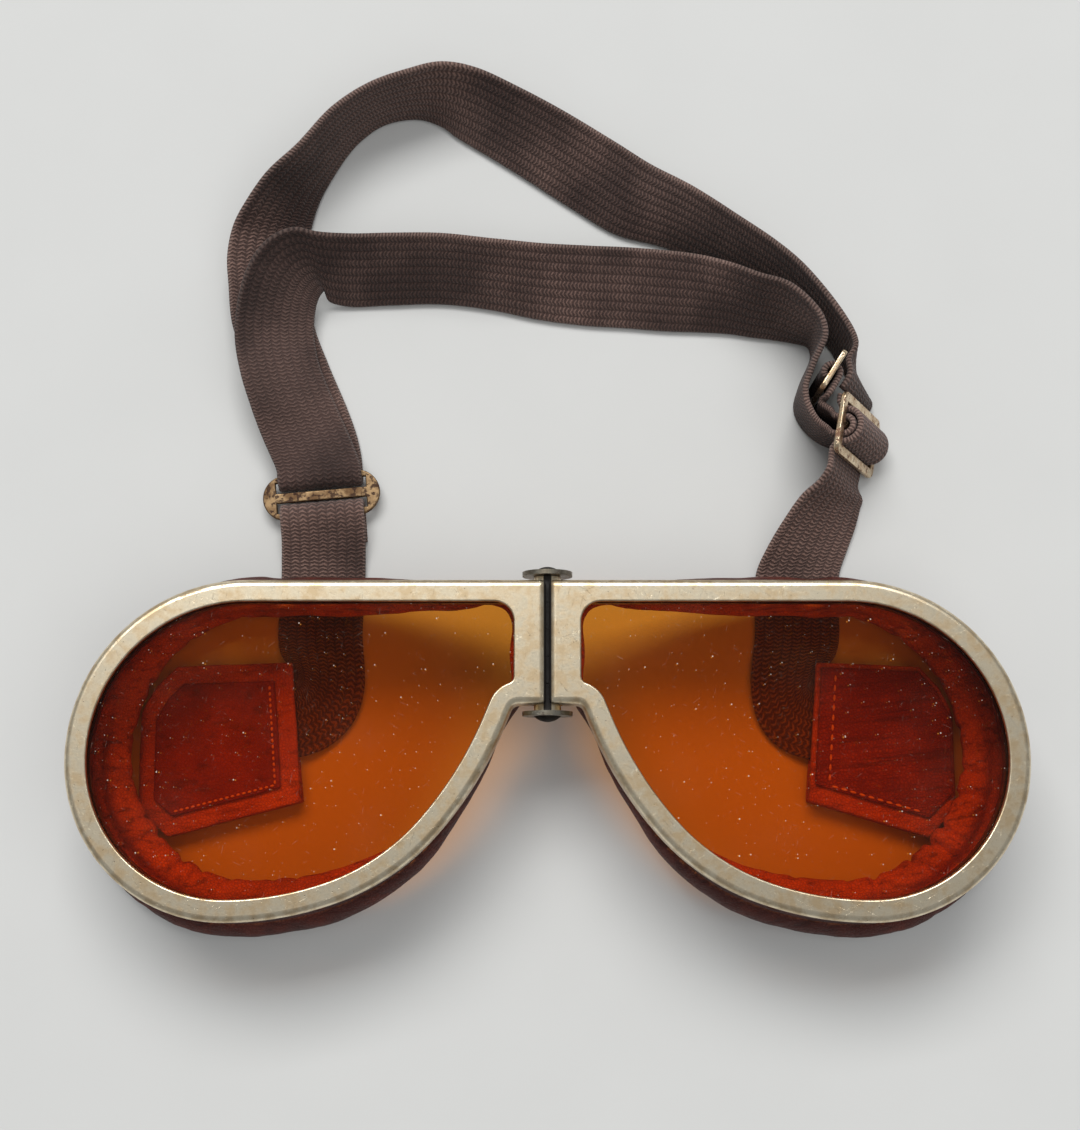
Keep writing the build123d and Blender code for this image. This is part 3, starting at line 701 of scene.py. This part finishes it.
# The depth of the ribs, the share of the width that each rounded edge takes, and its least cap
RIB_DEPTH = 0.14
EDGE_SHARE = 0.03
LEAST_CAP = 0.25


def strap_section():
    """Places round the webbing's section: ribs on both faces, between rounded edges."""
    count = RIBS * 6
    found = []
    for number in range(count + 1):
        share = number / count
        rib = abs(math.sin(math.pi * RIBS * share))
        edge = min(min(share, 1 - share) / EDGE_SHARE, 1)
        cap = max(math.sqrt(1 - (1 - edge) ** 2), LEAST_CAP)
        found.append((share, (THICK / 2 - RIB_DEPTH + RIB_DEPTH * rib) * cap))
    return found + [(share, -half) for share, half in found[::-1]]


def webbing(name, stations, body, material, node):
    """A length of elastic webbing along its stations, with its width and length as its UV map."""
    route = smooth_route(stations)
    ring = strap_section()
    size = len(ring)
    runs = [0.0]
    points = []
    for number, (middle, across) in enumerate(route):
        ahead = route[min(number + 1, len(route) - 1)][0] - route[max(number - 1, 0)][0]
        face = across.cross(ahead).normalized()
        if number:
            runs.append(runs[-1] + (middle - route[number - 1][0]).length)
        for share, half in ring:
            x, y, z = middle + across * ((share - 0.5) * WIDTH) + face * half
            points.append(placed(x, y, max(z, LOWEST)))
    faces = []
    for number in range(len(route) - 1):
        for place in range(size):
            ahead = (place + 1) % size
            near = [(number, place), (number, ahead)]
            faces.append(near + [(number + 1, ahead), (number + 1, place)])
    for number in (0, len(route) - 1):
        faces.append([(number, place) for place in range(size)])
    corners = [[number * size + place for number, place in face] for face in faces]
    mesh = bpy.data.meshes.new(name)
    mesh.from_pydata(points, [], corners)
    chart = [(ring[place][0], runs[number] * MM) for face in faces for number, place in face]
    layer = mesh.uv_layers.new(name="UVMap")
    layer.data.foreach_set("uv", [value for pair in chart for value in pair])
    obj = bpy.data.objects.new(name, mesh)
    bpy.context.scene.collection.objects.link(obj)
    choose(obj)
    bpy.ops.object.mode_set(mode="EDIT")
    bpy.ops.mesh.select_all(action="SELECT")
    bpy.ops.mesh.normals_make_consistent(inside=False)
    bpy.ops.object.mode_set(mode="OBJECT")
    bpy.ops.object.shade_smooth()
    fasten(obj, body, material, "webbing", node)
    print(name, "is", round(runs[-1], 1), "mm long")


# The left buckle: its middle, its directions, its bars' distance from the middle, the webbing's
# turn round a bar, and the tail that is tucked back under it
UP = heading(0, 90)
PLATE = Vector((-43.1, 19.8, 2.6))
PLATE_ALONG = heading(5)
PLATE_NORTH = heading(95)
PLATE_BAR = 3.675
PLATE_TURN = 1.9
TAIL = 5.76

# The right buckle, with the strap's turn round its middle bar and the short webbing's over that
BUCKLE = Vector((58.5, 29.9, 9.3))
BUCKLE_ACROSS = heading(170, 61)
BUCKLE_ALONG = heading(80)
BUCKLE_BACK = BUCKLE_ACROSS.cross(BUCKLE_ALONG)
INNER_TURN = 1.65
OUTER_TURN = 3.15

# The slider, with the strap's turn round its middle bar and the end that is sewn back on itself
SLIDER = Vector((52.7, 40.2, 9.8))
SLIDER_ALONG = heading(57.6)
SLIDER_SIDE = heading(-32.4)
SLIDER_TURN = 1.5
SEWN_END = 4.3


def in_buckle(*places):
    """Stations in the right buckle, by their place along the webbing and behind the plate."""
    found = []
    for along, back in places:
        middle = BUCKLE + BUCKLE_ALONG * along + BUCKLE_BACK * back
        found.append((middle - BUCKLE_ACROSS * (WIDTH / 2), BUCKLE_ACROSS))
    return found


def left_webbing():
    """From the left tab, over the lower bar of the left buckle and back under it."""
    rows = lying(
        (-70.4, -14.4, 1.6, -90, 0), (-50, -14.4, 1.6, -90, 0), (-47.9, -14, 1.6, -80, -1),
        (-47.79, -13.6, 1.6, -66, -4), (-48.1, -13.1, 1.7, -50, -5), (-48.7, -12.59, 1.79, -34, -5),
        (-49.6, -11.79, 1.5, -18, -4), (-50.5, -10.19, 0.8, -6, -2), (-51.01, -7.5, 0, 0, 0),
        (-50.68, 3.79, 0, 0, 0), (-50.59, 7.58, 0.9, 1.5, 0), (-50.46, 11.23, 2.61, 4, 0),
        (-50.6, 13.71, 3.6, 5, 0),
    )
    bar = PLATE - PLATE_NORTH * PLATE_BAR
    over = turn_round(bar, PLATE_ALONG, UP, PLATE_NORTH, PLATE_TURN)
    tail = (over[-1][0] - PLATE_NORTH * TAIL, PLATE_ALONG)
    route = rows + over + [tail]
    webbing("left_elastic", route, "left_eyepiece", FADED_AND_LIT_WEBBING, "left_webbing")


def right_webbing():
    """From behind the right buckle, over its middle bar, down to the table and into the tab."""
    start = in_buckle((5.85, 1.65), (4.5, 1.65), (3.47, 1.05), (OUTER_TURN, 0.33))
    over = turn_round(BUCKLE, BUCKLE_ACROSS, BUCKLE_ALONG, -BUCKLE_BACK, OUTER_TURN)
    end = in_buckle((-OUTER_TURN, 0.33), (-3.47, 1.05), (-4.5, 1.65), (-5.85, 1.65), (-8.25, 1.65))
    rows = lying(
        (60.6, 19.4, 0.4, 174, 50), (60.2, 17.8, 0, 177, 39), (59.11, 13.71, 0, 178, 25),
        (57.3, 9, 0, 179, 13), (55.9, 4.99, 0, 180, 3), (55.6, 0, 0, 180, 0),
        (55.6, -4.99, 0, 180, 0), (55.41, -8.3, 0, 181, 0), (54.59, -10.7, 1.2, 188, -3),
        (53.41, -12.3, 1.79, 202, -4), (52.21, -13.3, 1.79, 218, -4.5),
        (51.2, -13.81, 1.7, 235, -5), (50.7, -14.19, 1.6, 250, -3), (50.9, -14.5, 1.6, 262, -1),
        (52.5, -14.59, 1.6, 270, 0), (70.4, -14.59, 1.6, 270, 0),
    )
    route = start + over + end + rows
    webbing("right_elastic", route, "right_eyepiece", FADED_AND_LIT_WEBBING, "right_webbing")


def long_strap():
    """From the slider, round the right buckle, over to the left buckle and back round the loop."""
    loop = turn_round(SLIDER, UP, SLIDER_SIDE, SLIDER_ALONG, SLIDER_TURN, start=250, end=0)
    sewn = SLIDER + SLIDER_SIDE * SLIDER_TURN - SLIDER_ALONG * SEWN_END - UP * (WIDTH / 2)
    leg = lying((52.9, 34.49, 0.4, 165, 81), (57.7, 32.49, 0.1, 170, 71))
    nest = in_buckle((INNER_TURN, 2.2), (INNER_TURN, 0.82))
    nest += turn_round(BUCKLE, BUCKLE_ACROSS, BUCKLE_ALONG, -BUCKLE_BACK, INNER_TURN)
    nest += in_buckle((-INNER_TURN, 0.82), (-INNER_TURN, 2.2))
    curl = lying(
        (57.4, 29.1, 0.1, 170, 69), (52.71, 30.89, 0, 165, 79), (49.3, 34.49, 0, 150, 85),
        (48.4, 37.5, 0, 120, 87), (49.09, 40.4, 0, 100, 88), (50, 42.8, 0, 95, 88),
        (51.11, 45.1, 0, 90, 88), (51.89, 47.5, 0, 85, 88), (51.2, 49.9, 0, 86, 85),
    )
    inner = lying(
        (48.2, 50.7, 0, 78, 75), (44, 51.3, 0, 80, 63), (39.7, 51.8, 0, 86, 58),
        (35.4, 52.4, 0, 89, 51), (29.6, 52.7, 0, 90, 41), (22.9, 52.9, 0, 90, 33),
        (15.5, 53.5, 0, 90, 33), (7.7, 54, 0, 90, 35), (-1.3, 55.2, 0, 90, 42),
        (-10.7, 57.2, 0, 88, 50), (-20.5, 58.4, 0, 87, 51), (-30.3, 58.2, 0, 85, 49),
        (-38.5, 57.9, 0, 87, 48), (-42.5, 58.6, 1.2, 98, 52), (-43, 59.7, 2.6, 118, 50),
        (-43.2, 60, 3.4, 140, 46), (-43.7, 59.5, 3.4, 158, 40), (-44.5, 58.2, 2.9, 173, 36),
        (-45.1, 55.6, 2.3, 184, 31), (-45.2, 51.5, 2, 189, 27), (-44.1, 45.6, 1.9, 193, 26),
        (-41.7, 39.6, 1.8, 194, 21), (-38.9, 33.5, 1.9, 191, 12), (-36.7, 28.5, 3, 187, 5),
        (-35.56, 25.48, 3.7, 185, 1),
    )
    bar = PLATE + PLATE_NORTH * PLATE_BAR
    over = turn_round(bar, -PLATE_ALONG, UP, -PLATE_NORTH, PLATE_TURN)
    outer = lying(
        (-35.7, 27, 0, 185, 0), (-36.5, 31, 0, 184, 4), (-38.6, 37, 0, 182, 10),
        (-42.5, 46, 0, 182, 15), (-45.5, 54, 0, 184, 19), (-46.6, 62, 0, 186, 22),
        (-47.2, 67.5, 0, 186, 25), (-46.8, 72.3, 0, 184, 32), (-46, 76, 0, 182, 45),
        (-44.9, 79.7, 0, 177, 58), (-43, 83.9, 0, 168, 73), (-38.2, 91.3, 0, 156, 80),
        (-32.4, 95.8, 0, 135, 83), (-25.5, 96.9, 0, 105, 78), (-20.9, 95.2, 0, 84, 64),
        (-17.8, 92.8, 0, 66, 52), (-12.9, 89.7, 0, 52, 45), (-5.7, 85.1, 0, 49, 39),
        (5.6, 77.5, 0, 53, 36), (13.5, 72.7, 0, 55, 40), (23.3, 70, 0, 54, 57),
        (33.4, 65.4, 0, 68, 66), (41.6, 60.6, 0, 80, 68), (47.6, 56.8, 0, 90, 71),
        (52.31, 52.89, 0, 95, 77), (55.3, 49.79, 0, 90, 84), (57.3, 46.4, 0, 95, 85),
        (59, 43.39, 0, 125, 80), (60.8, 40.8, 0, 150, 70), (62.8, 38.2, 0.4, 160, 64),
    )
    route = loop + [(sewn, UP)] + leg + nest + curl + inner + over + outer
    route += in_buckle((7.05, 1.65))
    webbing("long_elastic", route, "left_eyepiece", WEBBING, "long_strap")


def area_light(name, size, energy, place, seen_in_gloss):
    """A soft rectangular light that faces the goggles, its size and place in metres."""
    light = bpy.data.lights.new(name, "AREA")
    light.shape = "RECTANGLE"
    light.size, light.size_y = size
    light.energy = energy
    obj = bpy.data.objects.new(name, light)
    obj.location = place
    obj.rotation_euler = Vector(place).to_track_quat("Z", "Y").to_euler()
    obj.visible_camera = False
    obj.visible_glossy = seen_in_gloss
    bpy.context.scene.collection.objects.link(obj)


# The table's side, in metres: it reaches past the edge of every view
TABLE_SIZE = 16


def table_and_light():
    """A plain pale table, a large soft window beyond the strap, and a fill from above."""
    bpy.ops.object.select_all(action="DESELECT")
    bpy.ops.mesh.primitive_plane_add(size=TABLE_SIZE)
    table = bpy.context.active_object
    table.name = "table"
    table.data.materials.append(pale_table("pale_table"))
    area_light("window", (2.4, 1.35), energy=100, place=(-0.36, 1.8, 2.7), seen_in_gloss=True)
    area_light("fill", (3.6, 3.6), energy=46, place=(0.9, -0.6, 3.3), seen_in_gloss=False)
    world = bpy.data.worlds.new("room")
    bpy.context.scene.world = world
    world.use_nodes = True
    room = world.node_tree.nodes["Background"].inputs
    room["Color"].default_value = (0.93, 0.96, 1, 1)
    room["Strength"].default_value = 0.3


# The photograph's focal length and long side in its own pixels, and where its camera was held
FOCAL_PIXELS = 1700
LONG_SIDE_PIXELS = 1130
SENSOR = 36
CAMERA_PLACE = (-1.316, -43.711, 322.005)
CAMERA_TILT = 8.9


def camera():
    """Above the goggles, as the photograph was taken."""
    lens = bpy.data.cameras.new("camera")
    lens.sensor_width = SENSOR
    lens.lens = SENSOR * FOCAL_PIXELS / LONG_SIDE_PIXELS
    lens.clip_start = 0.01
    view = bpy.data.objects.new("camera", lens)
    view.location = placed(*CAMERA_PLACE)
    view.rotation_euler = (math.radians(CAMERA_TILT), 0, 0)
    bpy.context.scene.collection.objects.link(view)
    bpy.context.scene.camera = view


camera()
table_and_light()
for side, facing, seed in (("left", LEFT_FACING, 1), ("right", RIGHT_FACING, 2)):
    dress(f"{side}_rim", NICKEL)
    dress(f"{side}_lens", GLASS)
    dress(f"{side}_gasket", RUBBER)
    dress(f"{side}_retainer", TARNISHED)
    cushion(side, seed, cup(side, seed + 2))
    tab(side, facing, seed + 4)
dress("hinge_pin", BLACKENED)
dress("upper_washer", TARNISHED)
dress("lower_washer", TARNISHED)
dress("left_buckle", GILT)
dress("right_buckle", BRIGHT)
dress("strap_slider", BRIGHT)
left_webbing()
right_webbing()
long_strap()
stitches(
    "left_facing_stitches", "left_eyepiece", 1.1,
    (-51.8, -16.8), (-50.3, -35.3), (-69, -40.2),
)
stitches("right_facing_stitches", "right_eyepiece", 1.8, (53.9, -14.6), (52.2, -34.8))
stitches("right_edge_stitches", "right_eyepiece", 1.8, (52.4, -35.4), (69, -40.2))

bpy.context.scene.view_settings.view_transform = "Standard"
